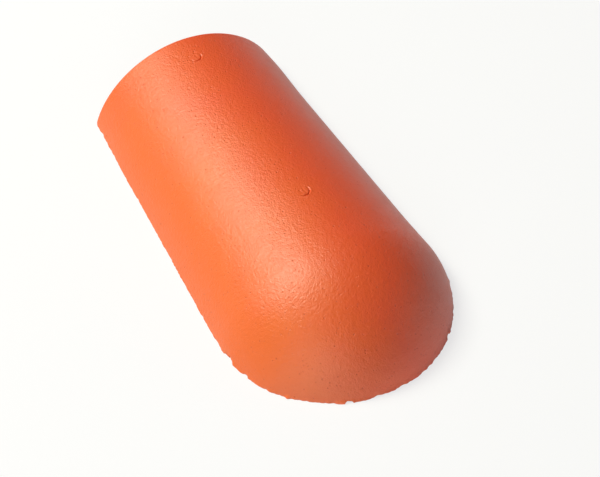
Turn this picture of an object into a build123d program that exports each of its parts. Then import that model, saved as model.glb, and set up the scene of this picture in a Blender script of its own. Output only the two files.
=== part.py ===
from build123d import *
from math import acos, atan2, cos, hypot, radians, sin, tan
import os

# A clay hip starter: one thin moulded shell of fired clay, lying crown up on its rim.
# It is an arch that widens evenly from an open end to an end closed by a quarter ball.
# Millimetres, +Z up. The length runs along Y, with the open end at +Y and the ball at -Y.
# The floor is at Z = 0, and the origin is on it, midway along the length.

length = 420.0  # from the open end to the tip of the closed end
narrow_width = 195.0  # across the outside of the rim at the open end
wide_width = 221.0  # across the outside of the rim at the middle of the ball
arch_drop = 31.0  # how far the centre line of the arch lies below the rim
wall = 13.0  # thickness of the clay
open_edge_round = 1.2  # rounding of the two moulded edges at the open end

ring_radius = 6.2  # each nail mark is a ring pressed into the crown
ring_depth = 0.7  # mean depth of its V-shaped groove
ring_lean = 5.0  # the punch leaned to one side, so the ring is deeper there, in degrees
ring_lean_side = -60.0  # the side it leaned to, in degrees round from +X
upper_mark_from_end = 30.5  # distance of the upper nail mark from the open end
upper_mark_side = 0.7  # its distance to the side of the crown line
lower_mark_from_end = 242.0  # distance of the lower nail mark from the open end
lower_mark_side = 7.3  # its distance to the side of the crown line

long_chip_radius = 16.0  # chips in the rim are shallow scoops, and one is longer than the rest
long_chip_depth = 2.4  # how far it bites into the outside of the rim
long_chip_angle = -83.0  # its place round the ball, in degrees from the tip
small_chip_radius = 4.0
small_chip_depth = 1.3
shoulder_chip_angle = -70.3  # places of the small chips round the ball
tip_chip_angle = -20.0
far_chip_angle = 42.2

# The arch is a body of revolution about a line along Y that lies below the floor.
# Across that line, the taper runs from the open end to where it meets the ball smoothly.
narrow_radius = hypot(narrow_width / 2, arch_drop)
ball_radius = hypot(wide_width / 2, arch_drop)
inner_radius = ball_radius - wall
open_y = length / 2
ball_y = wide_width / 2 - length / 2
reach = open_y - ball_y
meet_angle = atan2(narrow_radius, reach) + acos(ball_radius / hypot(reach, narrow_radius))
taper = radians(90) - meet_angle
outer_meet = (ball_y + ball_radius * cos(meet_angle), ball_radius * sin(meet_angle))
inner_meet = (ball_y + inner_radius * cos(meet_angle), inner_radius * sin(meet_angle))
outer_open = (open_y, narrow_radius)
inner_open = (open_y, narrow_radius - wall / cos(taper))
outer_pole = (ball_y - ball_radius, 0)
inner_pole = (ball_y - inner_radius, 0)


def punch_plane(from_end, side):
    """Plane of a nail mark: on the crown, and leaning as the punch did."""
    radius = narrow_radius + tan(taper) * from_end
    turn = side / radius
    spot = Vector(radius * sin(turn), open_y - from_end, radius * cos(turn) - arch_drop)
    outward = Vector(sin(turn) * cos(taper), sin(taper), cos(turn) * cos(taper))
    flat = Plane(origin=spot, x_dir=(cos(turn), 0, -sin(turn)), z_dir=outward)
    lean_side = flat.x_dir * cos(radians(ring_lean_side)) + flat.y_dir * sin(radians(ring_lean_side))
    leaning = outward * cos(radians(ring_lean)) + lean_side * sin(radians(ring_lean))
    return Plane(origin=spot, x_dir=flat.x_dir, z_dir=leaning)


def chip_centre(angle, radius, depth):
    """Centre of a scoop that bites this deep into the outside of the ball's rim."""
    out = wide_width / 2 + radius - depth
    return (out * sin(radians(angle)), ball_y - out * cos(radians(angle)), 0)


# The section of the clay wall, drawn from the arch's centre line downward, so that the
# line where the full round would close lies in the part that is trimmed away.
with BuildSketch(Plane(origin=(0, 0, -arch_drop), x_dir=(0, 1, 0), z_dir=(-1, 0, 0))) as wall_section:
    with BuildLine():
        Line(outer_open, outer_meet)
        RadiusArc(outer_meet, outer_pole, -ball_radius)
        Line(outer_pole, inner_pole)
        RadiusArc(inner_pole, inner_meet, inner_radius)
        Line(inner_meet, inner_open)
        Line(inner_open, outer_open)
    make_face()

with BuildPart() as hip_starter_tile:
    revolve(wall_section.sketch, axis=Axis((0, 0, -arch_drop), (0, 1, 0)))
    # The moulded edges at the open end are rounded.
    fillet(hip_starter_tile.edges().filter_by_position(Axis.Y, open_y - 0.01, open_y + 0.01), open_edge_round)
    # The rim is trimmed flat with a wire, which leaves its edges sharp and makes the arch
    # a little less than half of the full round.
    split(bisect_by=Plane.XY, keep=Keep.TOP)
    # Two nail marks on the crown, each the groove of a ring punch, pressed in but not through.
    for from_end, side in (upper_mark_from_end, upper_mark_side), (lower_mark_from_end, lower_mark_side):
        punch = punch_plane(from_end, side)
        with BuildSketch(Plane(origin=punch.origin, x_dir=punch.x_dir, z_dir=-punch.y_dir)) as groove:
            with BuildLine():
                Polyline(
                    (ring_radius, -ring_depth),
                    (ring_radius * 1.5, ring_radius / 2 - ring_depth),
                    (ring_radius / 2, ring_radius / 2 - ring_depth),
                    close=True,
                )
            make_face()
        revolve(groove.sketch, axis=Axis(punch.origin, punch.z_dir), mode=Mode.SUBTRACT)
    # Chips broken out of the outside of the trimmed rim.
    with Locations(chip_centre(long_chip_angle, long_chip_radius, long_chip_depth)):
        Sphere(long_chip_radius, mode=Mode.SUBTRACT)
    with Locations(
        chip_centre(shoulder_chip_angle, small_chip_radius, small_chip_depth),
        chip_centre(tip_chip_angle, small_chip_radius, small_chip_depth),
        chip_centre(far_chip_angle, small_chip_radius, small_chip_depth),
    ):
        Sphere(small_chip_radius, mode=Mode.SUBTRACT)
hip_starter_tile.part.label = "hip_starter_tile"

os.makedirs("parts", exist_ok=True)
export_step(hip_starter_tile.part, "parts/hip_starter_tile.step")
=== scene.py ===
from math import acos, asin, atan2, cos, exp, hypot, pi, radians, sin, sqrt, tan

import bmesh
import bpy
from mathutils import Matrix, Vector, noise


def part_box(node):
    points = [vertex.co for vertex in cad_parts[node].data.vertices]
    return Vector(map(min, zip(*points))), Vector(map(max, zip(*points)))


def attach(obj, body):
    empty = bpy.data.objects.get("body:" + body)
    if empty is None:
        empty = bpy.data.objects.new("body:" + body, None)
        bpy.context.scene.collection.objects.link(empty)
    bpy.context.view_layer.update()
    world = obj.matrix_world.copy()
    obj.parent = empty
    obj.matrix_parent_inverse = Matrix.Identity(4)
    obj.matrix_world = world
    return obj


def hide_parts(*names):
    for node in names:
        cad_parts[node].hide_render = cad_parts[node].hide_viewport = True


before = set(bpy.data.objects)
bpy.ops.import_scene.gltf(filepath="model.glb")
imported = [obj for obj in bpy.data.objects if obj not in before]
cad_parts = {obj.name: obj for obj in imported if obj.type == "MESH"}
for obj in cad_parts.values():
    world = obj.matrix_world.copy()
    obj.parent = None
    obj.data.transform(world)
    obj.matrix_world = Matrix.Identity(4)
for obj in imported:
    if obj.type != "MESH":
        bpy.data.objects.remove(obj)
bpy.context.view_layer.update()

# The shell of the hip starter
# One piece of orange clay, pressed over a mould to an arch that widens evenly from an open
# end to a quarter ball, trimmed flat along the rim with a wire while soft, and then fired.
MM = 0.001
low, high = (Vector(corner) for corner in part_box("hip_starter_tile"))
half_width = high.x
crown_height = high.z
open_y = high.y
ball_y = low.y + half_width
arch_drop = (half_width**2 - crown_height**2) / (2 * crown_height)
ball_radius = crown_height + arch_drop
narrow_half_width = 97.5 * MM
wall = 13.0 * MM
edge_round = 1.2 * MM

# The arch is round about a line along Y that lies below the floor, and so is the ball.
arch_line = Vector((0, 0, -arch_drop))
ball_centre = Vector((0, ball_y, -arch_drop))
narrow_radius = hypot(narrow_half_width, arch_drop)
reach = open_y - ball_y
taper = pi / 2 - atan2(narrow_radius, reach) - acos(ball_radius / hypot(reach, narrow_radius))
meet_y = ball_y + ball_radius * sin(taper)


def arch_radius(y, depth):
    """Radius of the arch at y, for the skin that lies this deep in the clay."""
    if y > ball_y + (ball_radius - depth) * sin(taper):
        return narrow_radius + tan(taper) * (open_y - y) - depth / cos(taper)
    return sqrt((ball_radius - depth) ** 2 - (y - ball_y) ** 2)


def outward_and_depth(point):
    """The way out of the clay at a point of the shell, and how deep the point lies."""
    if point.y > meet_y:
        radial = Vector((point.x, 0, point.z + arch_drop))
        depth = (arch_radius(point.y, 0) - radial.length) * cos(taper)
        return (radial.normalized() * cos(taper) + Vector((0, sin(taper), 0))), depth
    radial = point - ball_centre
    return radial.normalized(), ball_radius - radial.length


# A rib is an arc of the section from the rim up to the crown. Each has its place along the
# rim, which is a y on the straight sides or an angle round the ball, and its two depths. The
# first ones lie in the face of the open end and round its two moulded edges.
rib_spacing = 3.4 * MM
climb_rows = round(ball_radius * acos(arch_drop / ball_radius) / rib_spacing)
rim_rows = 4
edge_steps = 4
open_ribs = [(open_y, wall / 2, wall / 2), (open_y, wall * 0.34, wall * 0.66)]
for step in range(edge_steps):
    turn = radians(90) * (1 - step / edge_steps)
    inset = edge_round * (1 - cos(turn))
    open_ribs.append((open_y - edge_round * (1 - sin(turn)), inset, wall - inset))
straight_length = open_y - edge_round - ball_y
straight_ribs = round(straight_length / rib_spacing)
side_ribs = list(open_ribs)
for step in range(straight_ribs):
    side_ribs.append((open_y - edge_round - straight_length * step / straight_ribs, 0.0, wall))
ball_ribs = round(pi * half_width / rib_spacing)


def section_loop(side, y, angle, outer_depth, inner_depth):
    """Points of one rib: the outer skin down from the crown, the rim, the inner skin up again."""
    points = []
    for depth, steps in (outer_depth, range(climb_rows + 1)), (inner_depth, range(climb_rows, -1, -1)):
        radius = arch_radius(y, depth) if angle is None else ball_radius - depth
        rim_climb = asin(arch_drop / radius)
        skin = []
        for step in steps:
            climb = pi / 2 - (pi / 2 - rim_climb) * step / climb_rows
            if angle is None:
                skin.append(Vector((side * radius * cos(climb), y, radius * sin(climb) - arch_drop)))
            else:
                flat = Vector((sin(angle), -cos(angle), 0)) * radius * cos(climb)
                skin.append(ball_centre + flat + Vector((0, 0, radius * sin(climb))))
        if points:
            points += [points[-1].lerp(skin[0], row / rim_rows) for row in range(1, rim_rows)]
        points += skin
    return points


loops = [section_loop(1, y, None, outer, inner) for y, outer, inner in side_ribs]
for step in range(ball_ribs + 1):
    loops.append(section_loop(0, None, pi / 2 - pi * step / ball_ribs, 0.0, wall))
loops += [section_loop(-1, y, None, outer, inner) for y, outer, inner in reversed(side_ribs)]

# The clay has three finishes: the moulded face, the sanded hollow and the wire-cut rim.
MOULDED, SANDED, WIRE_CUT = range(3)
tile_mesh = bmesh.new()
broken_layer = tile_mesh.verts.layers.float.new("broken")
rows = [[tile_mesh.verts.new(point) for point in loop] for loop in loops]
for strip, (here, there) in enumerate(zip(rows, rows[1:])):
    at_open_end = min(strip, len(rows) - 2 - strip) < len(open_ribs)
    for row in range(len(here) - 1):
        face = tile_mesh.faces.new((here[row], here[row + 1], there[row + 1], there[row]))
        face.smooth = True
        if climb_rows <= row < climb_rows + rim_rows:
            face.material_index = WIRE_CUT
        elif row < climb_rows or at_open_end:
            face.material_index = MOULDED
        else:
            face.material_index = SANDED
bmesh.ops.remove_doubles(tile_mesh, verts=tile_mesh.verts, dist=0.01 * MM)
bmesh.ops.dissolve_degenerate(tile_mesh, edges=tile_mesh.edges, dist=0.001 * MM)

# Two nail marks on the crown. A tube punch was pressed into the soft clay by hand, aslant, so
# each ring is a deep crescent on the side it leaned to and all but fades out on the other.
punch_radius = 6.2 * MM
ring_depth = 1.3 * MM
ring_faint = 0.12  # share of the depth that is left away from the crescent
groove_width = 0.62 * MM
tear_size = 2.4 * MM
burr_height = 0.15 * MM
burr_width = 0.8 * MM
burr_from_ring = 1.5 * MM
pressed_in = 0.10 * MM  # how far the clay inside the ring was pushed down
mark_places = [(30.5 * MM, 0.7 * MM, -72), (242.0 * MM, 7.3 * MM, -50)]
punches = []
for from_end, side, lean_angle in mark_places:
    mark_y = open_y - from_end
    mark_turn = side / arch_radius(mark_y, 0)
    spot = Vector((sin(mark_turn), 0, cos(mark_turn))) * arch_radius(mark_y, 0)
    spot += arch_line + Vector((0, mark_y, 0))
    out, _ = outward_and_depth(spot)
    across = Vector((cos(mark_turn), 0, -sin(mark_turn)))
    along = out.cross(across)
    lean = across * cos(radians(lean_angle)) + along * sin(radians(lean_angle))
    punches.append((spot, out, lean))


def refine(choose):
    """Splits the faces whose middle is chosen into four."""
    edges = {edge for face in tile_mesh.faces if choose(face.calc_center_median()) for edge in face.edges}
    bmesh.ops.subdivide_edges(tile_mesh, edges=list(edges), cuts=1, use_grid_fill=True)


skin_depth = 0.3 * MM  # a point less deep than this is on the outside
torn_height = 4.5 * MM  # how far up and how deep the wire tore the rim
torn_depth = 8.0 * MM


def on_outside(point):
    return outward_and_depth(point)[1] < skin_depth


def near_rim(point):
    return point.z < torn_height and outward_and_depth(point)[1] < torn_depth


def mark_distance(point):
    return min((point - spot).length for spot, out, lean in punches)


refine(on_outside)
refine(near_rim)
for mark_reach in 11.0 * MM, 8.5 * MM:
    refine(lambda point: on_outside(point) and mark_distance(point) < mark_reach)

# Chips of the trimmed rim, one long and three small. Each has its angle round the ball from
# the tip, the radius of the scoop and the depth of its bite.
chip_sizes = [
    (-83.0, 16.0 * MM, 2.4 * MM),
    (-70.3, 4.0 * MM, 1.3 * MM),
    (-20.0, 4.0 * MM, 1.3 * MM),
    (42.2, 4.0 * MM, 1.3 * MM),
]
chips = []
for angle, radius, depth in chip_sizes:
    chip_out = half_width + radius - depth
    centre = Vector((chip_out * sin(radians(angle)), ball_y - chip_out * cos(radians(angle)), 0))
    chips.append((centre, radius))


def soft_marks(*marks):
    """Soft rises and dips of the clay. Each has its place, the height that the clay stands out
    there and how far round that reaches, in millimetres."""
    return [(Vector(place) * MM, height * MM, spread * MM) for place, height, spread in marks]


# The tile isn't quite true: it swells a little at both shoulders of the ball, along its front
# and at the open end, and is flatter at its tip.
swellings = soft_marks(
    ((105.5, -110.0, 12.0), 1.3, 34.0),
    ((-93.5, -158.0, 0.0), 1.5, 20.0),
    ((30.0, -203.0, 0.0), 0.8, 48.0),
    ((0.0, -209.0, 0.0), -0.8, 12.0),
    ((-101.5, 130.0, 0.0), 0.6, 30.0),
    ((90.5, 180.0, 19.0), 1.1, 28.0),
)
# Small dents by the nail marks, and a pimple near the open end.
small_marks = soft_marks(
    ((2.2, 184.8, 72.3), -0.45, 1.1),
    ((5.1, -30.7, 80.8), -0.40, 1.0),
    ((40.5, 203.0, 63.2), 0.45, 1.0),
)
# Crumbs that the wire left on the rim, and bites that it took, from the left of the open end
# round the ball.
crumbs = soft_marks(
    ((-97.5, 210.0, 0.0), -0.5, 2.5),
    ((-98.2, 193.0, 0.0), -1.0, 4.0),
    ((-110.3, -93.0, 0.0), -1.1, 6.0),
    ((-109.1, -116.8, 0.0), 0.6, 4.0),
    ((-107.7, -124.4, 0.0), 0.5, 9.0),
    ((-82.5, -174.5, 0.0), 2.0, 2.2),
    ((-78.1, -177.6, 0.0), 0.6, 5.0),
    ((-46.0, -201.0, 0.0), 1.0, 3.0),
    ((-40.5, -202.3, 0.0), 0.9, 4.0),
    ((-36.0, -204.0, 0.0), 1.1, 10.0),
    ((-23.0, -207.6, 0.0), 0.8, 4.0),
    ((-11.6, -209.4, 0.0), -1.4, 4.5),
    ((0.0, -210.0, 0.0), 0.6, 4.0),
    ((11.0, -209.4, 0.0), -1.2, 4.0),
    ((50.5, -197.5, 0.0), -0.7, 3.0),
    ((73.0, -182.5, 0.0), 0.7, 13.0),
    ((86.0, -169.0, 0.0), 0.6, 4.0),
)


def smooth_step(value, start, end):
    """0 at the start and 1 at the end, with a soft rise between."""
    t = min(1.0, max(0.0, (value - start) / (end - start)))
    return t * t * (3 - 2 * t)


def marks_height(point, marks):
    """Height of the clay at a point by a list of soft rises and dips."""
    total = 0.0
    for place, height, spread in marks:
        away = (point - place).length / spread
        total += height * exp(-away * away)
    return total


def waves(place, size, height):
    """Height at a place of random waves of about this size."""
    return noise.noise(place / size) * height


def ring_relief(point):
    """Height of the clay at a point near a nail mark: the punched ring and its burr."""
    height = 0.0
    for spot, out, lean in punches:
        away = point - spot
        if away.length > 3 * punch_radius:
            continue
        flat = away - out * away.dot(out)
        distance = flat.length
        if distance < 1e-7:
            continue
        toward_lean = flat.dot(lean) / distance
        torn = noise.noise(away / tear_size)  # how unevenly the clay tore along the ring
        pressed = smooth_step(toward_lean, -0.1, 0.95) * (1 + 0.5 * torn)
        bite = ring_depth * max(ring_faint * max(0.0, 1 + 2 * torn), pressed)
        off = (distance - punch_radius * (1 + 0.05 * torn)) / groove_width
        height -= bite * exp(-off * off)
        burr = (distance - punch_radius - burr_from_ring) / burr_width
        height += burr_height * max(0.0, toward_lean + 0.3 + 1.2 * torn) * exp(-burr * burr)
        inside = smooth_step(distance, punch_radius, 0)
        height -= pressed_in * inside * (1 + 3 * torn)
    return height


relief_full = 0.2 * MM  # the relief of a skin is full down to this depth, and fades out by the next
relief_gone = 3.0 * MM
crumble_height = 4.0 * MM


def clay_place(point):
    """Where a point of the plain shell lies in the real one, and how broken the clay is there."""
    out, depth = outward_and_depth(point)
    outer = 1 - smooth_step(depth, relief_full, relief_gone)
    inner = 1 - smooth_step(wall - depth, relief_full, relief_gone)
    # A point that was added in the middle of a flat face is first moved out to the round.
    if depth < skin_depth and point.y < open_y - edge_round:
        point = point + out * depth
    # The hand pressed the outside in soft waves, and the hollow was scraped along its length.
    press = waves(point, 24 * MM, 0.10 * MM) + waves(point, 9 * MM, 0.035 * MM)
    scrape = waves(Vector((point.x / 9, point.y / 40, point.z / 9)), MM, 0.25 * MM)
    height = outer * press + outer * ring_relief(point) - inner * scrape
    height += (1 - inner) * marks_height(point, swellings) + outer * marks_height(point, small_marks)
    moved = point + out * height
    broken = 0.0
    # The wire cut: the arris is crumbled, and bites of clay came away from it. The crumbling
    # changes along the rim but not up it.
    rim = 1 - smooth_step(point.z, 0.0, crumble_height)
    if rim > 0:
        coarse = waves(Vector((point.x, point.y, 3.0)), 9 * MM, 0.7 * MM)
        fine = waves(Vector((point.x, point.y, 9.0)), 3.2 * MM, 0.8 * MM)
        on_ball = smooth_step(-point.y, -ball_y - 20 * MM, -ball_y + 20 * MM)
        crumble = (coarse + fine) * (0.6 + 0.3 * on_ball)
        crumble -= marks_height(point, crumbs)
        moved -= out * crumble * rim * outer
        moved.z += max(0.0, crumble) * 0.6 * rim * outer
        drag = waves(Vector((point.x / 18, point.y / 5, 1.0)), MM, 0.18 * MM)
        moved.z += (abs(drag) + 0.05 * MM) * rim * (1 - outer) * (1 - inner)
        broken = smooth_step(crumble, 0.1 * MM, 0.5 * MM) * smooth_step(rim, 0.5, 0.9) * outer
    for centre, radius in chips:
        away = moved - centre
        if away.length < radius:
            rough = 1 + 0.05 * noise.noise(moved / (1.6 * MM))
            moved = centre + away.normalized() * radius * rough
            broken = 1.0
    moved.z = max(moved.z, 0.0)
    return moved, broken


places = [clay_place(vertex.co) for vertex in tile_mesh.verts]
for vertex, (place, broken) in zip(tile_mesh.verts, places):
    vertex.co = place
    vertex[broken_layer] = broken
bmesh.ops.recalc_face_normals(tile_mesh, faces=tile_mesh.faces)
shell_data = bpy.data.meshes.new("moulded_shell")
tile_mesh.to_mesh(shell_data)
tile_mesh.free()
shell_data.set_sharp_from_angle(angle=radians(50))
moulded_shell = bpy.data.objects.new("moulded_shell", shell_data)
bpy.context.collection.objects.link(moulded_shell)


def add_node(tree, kind, settings=None, **inputs):
    """A node with its settings. An input is named, or given as _ and its number, and is set to
    a value or linked to a socket."""
    made = tree.nodes.new(kind)
    for name, value in (settings or {}).items():
        setattr(made, name, value)
    for name, value in inputs.items():
        socket = made.inputs[int(name[1:])] if name[0] == "_" else made.inputs[name.replace("_", " ")]
        if isinstance(value, bpy.types.NodeSocket):
            tree.links.new(value, socket)
        else:
            socket.default_value = value
    return made


def add_math(tree, operation, *values):
    """A math node, from its values or the sockets that give them."""
    inputs = {f"_{place}": value for place, value in enumerate(values)}
    return add_node(tree, "ShaderNodeMath", {"operation": operation}, **inputs).outputs[0]


def new_group(name, inputs, outputs):
    """An empty shader node group with named inputs and outputs."""
    group = bpy.data.node_groups.new(name, "ShaderNodeTree")
    for socket_name, kind in inputs.items():
        group.interface.new_socket(socket_name, in_out="INPUT", socket_type=kind)
    for socket_name, kind in outputs.items():
        group.interface.new_socket(socket_name, in_out="OUTPUT", socket_type=kind)
    return group, group.nodes.new("NodeGroupInput"), group.nodes.new("NodeGroupOutput")


def mix_colours(tree, share, first, second, blend="MIX"):
    """The mix of two colours, each a value or a socket."""
    settings = {"data_type": "RGBA", "blend_type": blend}
    return add_node(tree, "ShaderNodeMix", settings, _0=share, _6=first, _7=second).outputs[2]


# Fired clay as all three finishes share it: a fine grain, open pin holes with painted shade in them, and
# a colour with random kiln tone that is also painted paler orange on the -X flank, which the main lamp
# lights, as painted light.
# Heights are in millimetres, and a scale is the number of grains to the metre.
FLOAT, COLOUR = "NodeSocketFloat", "NodeSocketColor"
fired_body, given, result = new_group(
    "fired_body",
    {"Pin Holes": FLOAT, "Roughness": FLOAT},
    {"Colour": COLOUR, "Roughness": FLOAT, "Height": FLOAT},
)
fired_orange = (0.78, 0.087, 0.025, 1)
# Painted light: the paler orange that stands mostly on the lamp-lit -X flank.
lit_side_orange = (0.76, 0.120, 0.005, 1)
# Painted shade: the colour that darkens the inside of the pin holes.
pin_hole_painted_shade = (0.72, 0.56, 0.52, 1)
clay_point = add_node(fired_body, "ShaderNodeTexCoord").outputs["Object"]
side = add_node(fired_body, "ShaderNodeSeparateXYZ", Vector=clay_point).outputs["X"]
kiln_heat = add_node(fired_body, "ShaderNodeTexNoise", Vector=clay_point, Scale=14.0, Detail=2.0)
mottle = add_node(fired_body, "ShaderNodeTexNoise", Vector=clay_point, Scale=160.0, Detail=3.0)
# The X term paints the -X flank, which the main lamp lights, paler orange: painted light. The noise terms
# are random kiln tone.
lit_side_and_kiln_heat = add_math(fired_body, "MULTIPLY_ADD", kiln_heat.outputs["Fac"], 0.10, side)
lit_side_and_kiln_heat = add_math(fired_body, "MULTIPLY_ADD", mottle.outputs["Fac"], 0.03, lit_side_and_kiln_heat)
lit_side_and_kiln_share = add_node(fired_body, "ShaderNodeMapRange", Value=lit_side_and_kiln_heat, From_Min=0.10, From_Max=-0.02)
kiln_and_lit_side_colour = mix_colours(fired_body, lit_side_and_kiln_share.outputs["Result"], fired_orange, lit_side_orange)
# A pin hole is a small round dent in the middle of a grain cell. The cell's own random colour
# draws whether it has one, how wide it is and how deep.
grain_cell = add_node(fired_body, "ShaderNodeTexVoronoi", Vector=clay_point, Scale=400.0, Randomness=1.0)
cell_draw = add_node(fired_body, "ShaderNodeSeparateColor", Color=grain_cell.outputs["Color"])
chosen = add_math(fired_body, "LESS_THAN", cell_draw.outputs["Red"], given.outputs["Pin Holes"])
width_draw = cell_draw.outputs["Green"]
hole_size = add_node(fired_body, "ShaderNodeMapRange", Value=width_draw, To_Min=0.18, To_Max=0.52)
hole_shape = add_node(
    fired_body,
    "ShaderNodeMapRange",
    {"interpolation_type": "SMOOTHSTEP"},
    Value=grain_cell.outputs["Distance"],
    From_Min=hole_size.outputs["Result"],
    From_Max=0.0,
)
hole = add_math(fired_body, "MULTIPLY", hole_shape.outputs["Result"], chosen)
hole = add_math(fired_body, "MULTIPLY", hole, cell_draw.outputs["Blue"])
# The pin holes are darkened in colour: painted shade in the dents.
colour_with_hole_shade = mix_colours(fired_body, hole, kiln_and_lit_side_colour, pin_hole_painted_shade, blend="MULTIPLY")
fired_body.links.new(colour_with_hole_shade, result.inputs["Colour"])
fine_grain = add_node(fired_body, "ShaderNodeTexNoise", Vector=clay_point, Scale=850.0, Detail=2.0)
grain_height = add_math(fired_body, "MULTIPLY", fine_grain.outputs["Fac"], 0.28)
hole_depth = add_math(fired_body, "MULTIPLY", hole, 0.40)
body_height = add_math(fired_body, "SUBTRACT", grain_height, hole_depth)
fired_body.links.new(body_height, result.inputs["Height"])
rough_swing = add_math(fired_body, "MULTIPLY_ADD", mottle.outputs["Fac"], 0.16, -0.08)
rough_body = add_math(fired_body, "ADD", given.outputs["Roughness"], rough_swing)
rough_body = add_math(fired_body, "MULTIPLY_ADD", hole, 0.2, rough_body)
fired_body.links.new(rough_body, result.inputs["Roughness"])

broken_orange = (0.80, 0.18, 0.06, 1)


def clay_material(name, pin_holes, roughness, specular):
    """A clay finish: the fired body, to which the caller adds the relief of its own. Where the
    clay is broken it is paler and dull."""
    material = bpy.data.materials.new(name)
    material.use_nodes = True
    tree = material.node_tree
    shader = tree.nodes["Principled BSDF"]
    shader.inputs["Specular IOR Level"].default_value = specular
    body = add_node(tree, "ShaderNodeGroup", {"node_tree": fired_body})
    body.inputs["Pin Holes"].default_value = pin_holes
    body.inputs["Roughness"].default_value = roughness
    broken_share = add_node(tree, "ShaderNodeAttribute", {"attribute_name": "broken"}).outputs["Fac"]
    colour = mix_colours(tree, broken_share, body.outputs["Colour"], broken_orange)
    tree.links.new(colour, shader.inputs["Base Color"])
    dull = add_math(tree, "MAXIMUM", body.outputs["Roughness"], broken_share)
    tree.links.new(dull, shader.inputs["Roughness"])
    return material, tree, shader, body.outputs["Height"]


def add_relief(tree, shader, height):
    """Feeds a height in millimetres to the shader as fine relief."""
    relief = add_node(tree, "ShaderNodeBump", Height=height, Distance=1 * MM, Strength=1.0)
    tree.links.new(relief.outputs["Normal"], shader.inputs["Normal"])


# The moulded face: pressed smooth, with the soft dimples of the mould.
moulded_face, tree, shader, height = clay_material(
    "moulded_face", pin_holes=0.32, roughness=0.46, specular=0.9
)
place = add_node(tree, "ShaderNodeTexCoord").outputs["Object"]
dimples = add_node(tree, "ShaderNodeTexNoise", Vector=place, Scale=320.0, Detail=3.0, Roughness=0.7)
height = add_math(tree, "MULTIPLY_ADD", dimples.outputs["Fac"], 0.63, height)
add_relief(tree, shader, height)

# The hollow: rougher, as the sand on the mould leaves it.
sanded_hollow, tree, shader, height = clay_material(
    "sanded_hollow", pin_holes=0.5, roughness=0.75, specular=0.35
)
place = add_node(tree, "ShaderNodeTexCoord").outputs["Object"]
sand = add_node(tree, "ShaderNodeTexVoronoi", Vector=place, Scale=900.0)
height = add_math(tree, "MULTIPLY_ADD", sand.outputs["Distance"], -0.35, height)
add_relief(tree, shader, height)

# The rim: drawn through by the wire, which dragged grains along and tore it open.
wire_cut_rim, tree, shader, height = clay_material(
    "wire_cut_rim", pin_holes=0.8, roughness=0.8, specular=0.35
)
place = add_node(tree, "ShaderNodeTexCoord").outputs["Object"]
tears = add_node(tree, "ShaderNodeTexNoise", Vector=place, Scale=500.0, Detail=4.0, Roughness=0.7)
height = add_math(tree, "MULTIPLY_ADD", tears.outputs["Fac"], 0.6, height)
add_relief(tree, shader, height)

for finish in moulded_face, sanded_hollow, wire_cut_rim:
    shell_data.materials.append(finish)
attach(moulded_shell, "root")
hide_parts("hip_starter_tile")

# The studio around the tile, which isn't part of it: a floor of white paper that the camera
# and the gloss of the clay see as white, and that keeps a soft shadow.
floor_reach = 6.0
corner_turns = (-1, -1), (1, -1), (1, 1), (-1, 1)
floor_corners = [(x * floor_reach, y * floor_reach, 0) for x, y in corner_turns]
floor_data = bpy.data.meshes.new("studio_floor")
floor_data.from_pydata(floor_corners, [], [(0, 1, 2, 3)])
studio_floor = bpy.data.objects.new("studio_floor", floor_data)
bpy.context.collection.objects.link(studio_floor)
white_paper = bpy.data.materials.new("white_paper")
white_paper.use_nodes = True
tree = white_paper.node_tree
tree.nodes.remove(tree.nodes["Principled BSDF"])
seen_as_white = 0.72  # how much of the floor is plain white to the camera and the gloss
paper_in_light = add_node(tree, "ShaderNodeBsdfDiffuse", Color=(0.86, 0.87, 0.98, 1))
plain_white = add_node(tree, "ShaderNodeEmission", Color=(1, 1, 1, 1), Strength=1.0)
ray = add_node(tree, "ShaderNodeLightPath")
seen = add_math(tree, "MAXIMUM", ray.outputs["Is Camera Ray"], ray.outputs["Is Glossy Ray"])
seen = add_math(tree, "MAXIMUM", seen, ray.outputs["Is Transmission Ray"])
paper = add_node(tree, "ShaderNodeMixShader", _0=add_math(tree, "MULTIPLY", seen, seen_as_white))
tree.links.new(paper_in_light.outputs[0], paper.inputs[1])
tree.links.new(plain_white.outputs[0], paper.inputs[2])
tree.links.new(paper.outputs[0], tree.nodes["Material Output"].inputs["Surface"])
floor_data.materials.append(white_paper)

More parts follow.
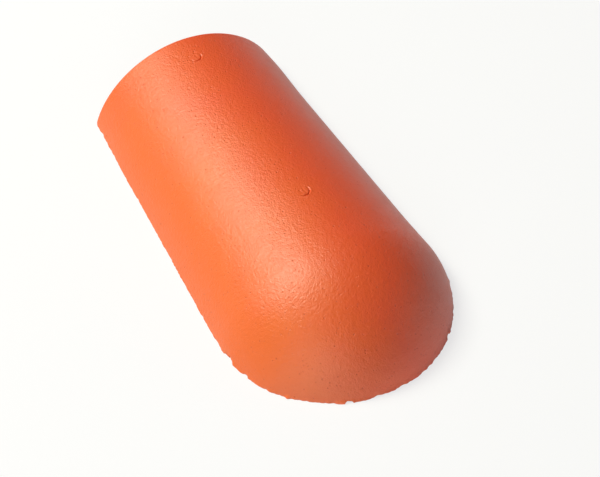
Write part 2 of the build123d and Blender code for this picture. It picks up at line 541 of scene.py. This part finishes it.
# The air is a faint white glow.
studio_air = bpy.data.worlds.new("studio_air")
studio_air.use_nodes = True
air_light = studio_air.node_tree.nodes["Background"]
air_light.inputs["Color"].default_value = (1, 1, 1, 1)
air_light.inputs["Strength"].default_value = 0.05
bpy.context.scene.world = studio_air


def way_toward(azimuth, elevation):
    """The way from the tile toward a lamp or the camera, from two angles in degrees. Azimuth 0
    is in front of the closed end, and it grows toward +X."""
    turn, climb = radians(azimuth), radians(elevation)
    return Vector((sin(turn) * cos(climb), -cos(turn) * cos(climb), sin(climb)))


# The main light comes from behind on the left, and two weak ones fill the front and the right.
# All three are soft boxes that stand clear of the floor.
lamp_distance = 3.5
lamp_aim = Vector((0, 0, 0.04))  # the middle of the tile


def soft_lamp(name, azimuth, elevation, size, power, colour):
    """A square soft box of this power in watts, facing the tile."""
    lamp_data = bpy.data.lights.new(name, "AREA")
    lamp_data.size = size
    lamp_data.energy = power
    lamp_data.color = colour
    lamp = bpy.data.objects.new(name, lamp_data)
    toward = way_toward(azimuth, elevation)
    lamp.location = toward * lamp_distance + lamp_aim
    lamp.rotation_euler = toward.to_track_quat("Z", "Y").to_euler()
    bpy.context.collection.objects.link(lamp)


soft_lamp("window_soft_box", azimuth=225, elevation=53, size=1.3, power=144, colour=(1.0, 0.99, 0.78))
soft_lamp("front_fill", azimuth=-40, elevation=17, size=2.0, power=44, colour=(1.0, 0.98, 0.87))
soft_lamp("side_bounce", azimuth=60, elevation=10, size=1.1, power=7.2, colour=(1.0, 0.90, 0.75))

# The camera, at the angle of the photograph.
view_back = way_toward(-27.69, 48.91)
view_distance = 1.43943
view_aim = Vector((-0.00473, -0.04957, 0.040))
camera_data = bpy.data.cameras.new("photo_camera")
camera_data.sensor_width = 36.0
camera_data.lens = 96.0
camera = bpy.data.objects.new("photo_camera", camera_data)
camera.location = view_aim + view_back * view_distance
camera.rotation_euler = view_back.to_track_quat("Z", "Y").to_euler()
bpy.context.collection.objects.link(camera)
bpy.context.scene.camera = camera
bpy.context.scene.view_settings.view_transform = "Standard"
